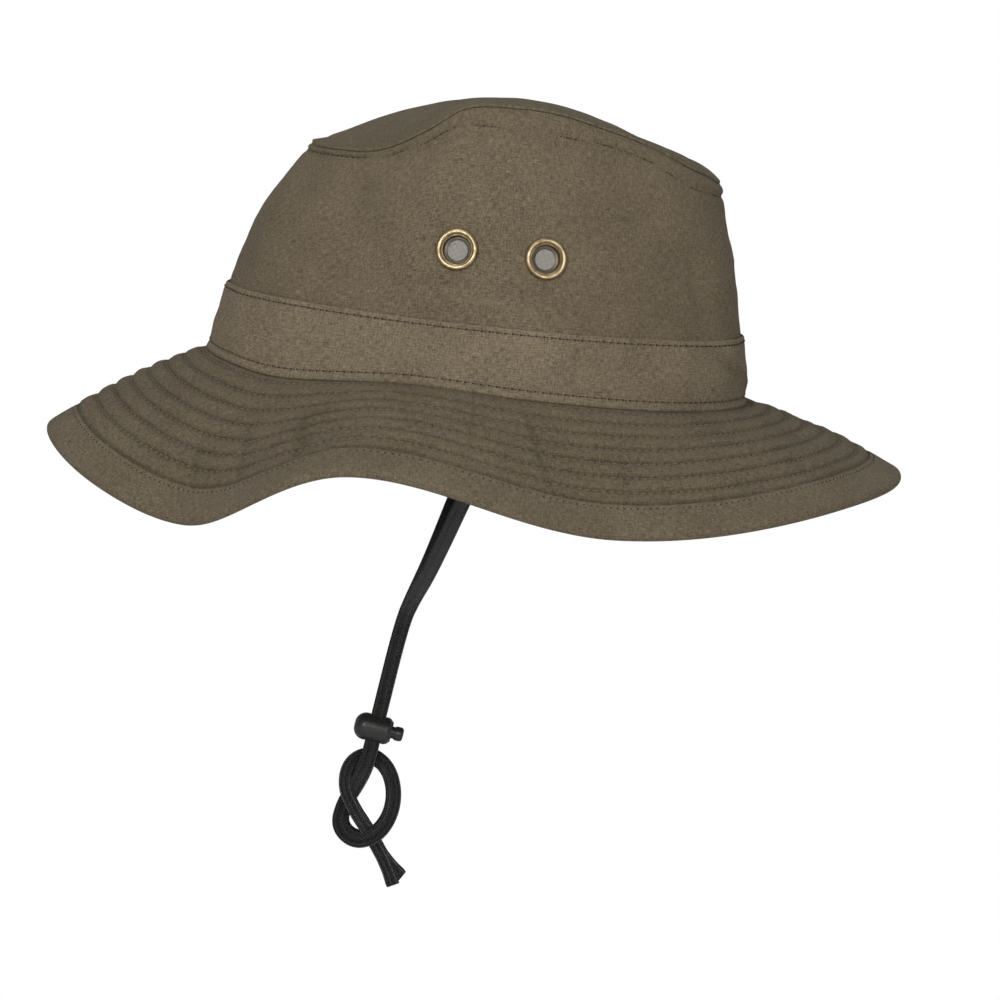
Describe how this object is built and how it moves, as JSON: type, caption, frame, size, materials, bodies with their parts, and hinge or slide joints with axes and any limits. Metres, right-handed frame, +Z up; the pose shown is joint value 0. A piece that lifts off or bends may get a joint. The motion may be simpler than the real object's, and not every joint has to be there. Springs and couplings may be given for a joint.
{
  "type": "boonie hat",
  "caption": "Soft brimmed sun hat with a banded crown, mesh vents, a row-stitched wavy brim and a knotted chin cord with a sliding lock.",
  "frame": {"origin": "middle of the head opening, at the seam between crown and brim", "axes": "+Z up out of the crown, -Y the front of the hat, +X the wearer's left"},
  "size_m": [0.2888, 0.3293, 0.311],
  "materials": {
    "crown_cloth": "matt olive-brown cotton cloth with a fine weave",
    "brim_cloth": "matt olive-brown cotton cloth, quilted by rows of pale stitches",
    "sweatband_cloth": "soft dark olive cotton twill",
    "lining_tape": "thin woven tape",
    "interlining": "stiff unbleached felt, sealed inside the brim",
    "antique_brass": "antique brass, darkened in the recesses and worn bright on the bead",
    "screen_wire": "fine grey woven wire",
    "cord_braid": "flat black braid",
    "lock_plastic": "black satin moulded plastic",
    "spring_steel": "drawn spring wire"
  },
  "bodies": {
    "hat": {"crown_wall_left": "crown_cloth", "crown_wall_right": "crown_cloth", "crown_top": "crown_cloth", "hat_band": "crown_cloth", "crown_seam_tape": "lining_tape", "sweatband": "sweatband_cloth", "brim_upper_front": "brim_cloth", "brim_upper_rear": "brim_cloth", "brim_under_front": "brim_cloth", "brim_under_rear": "brim_cloth", "brim_binding": "brim_cloth", "brim_interlining": "interlining", "cord_patch_left": "sweatband_cloth", "cord_patch_right": "sweatband_cloth", "eyelet_left_front": "antique_brass", "eyelet_washer_left_front": "antique_brass", "eyelet_screen_left_front": "screen_wire", "eyelet_left_rear": "antique_brass", "eyelet_washer_left_rear": "antique_brass", "eyelet_screen_left_rear": "screen_wire", "eyelet_right_front": "antique_brass", "eyelet_washer_right_front": "antique_brass", "eyelet_screen_right_front": "screen_wire", "eyelet_right_rear": "antique_brass", "eyelet_washer_right_rear": "antique_brass", "eyelet_screen_right_rear": "screen_wire"},
    "chin_cord": {"chin_cord_left": "cord_braid", "chin_cord_right": "cord_braid"},
    "cord_lock": {"cord_lock_barrel": "lock_plastic", "cord_lock_spring": "spring_steel"},
    "lock_plunger": {"cord_lock_plunger": "lock_plastic"}
  },
  "joints": [
    {"name": "chin_cord_swing", "type": "hinge", "parent": "hat", "child": "chin_cord", "pos_m": [0, 0.0108, -0.0025], "axis": [1, 0, 0], "range_deg": [-45, 70]},
    {"name": "cord_lock_slide", "type": "slide", "parent": "chin_cord", "child": "cord_lock", "axis": [0, 0.1362, 0.9907], "range_m": [0, 0.03]},
    {"name": "lock_plunger_press", "type": "slide", "parent": "cord_lock", "child": "lock_plunger", "axis": [0, -0.9907, 0.1362], "range_m": [0, 0.0024], "stiffness_N_per_m": 600, "springref_m": -0.001, "deforming": ["cord_lock_spring"]}
  ]
}
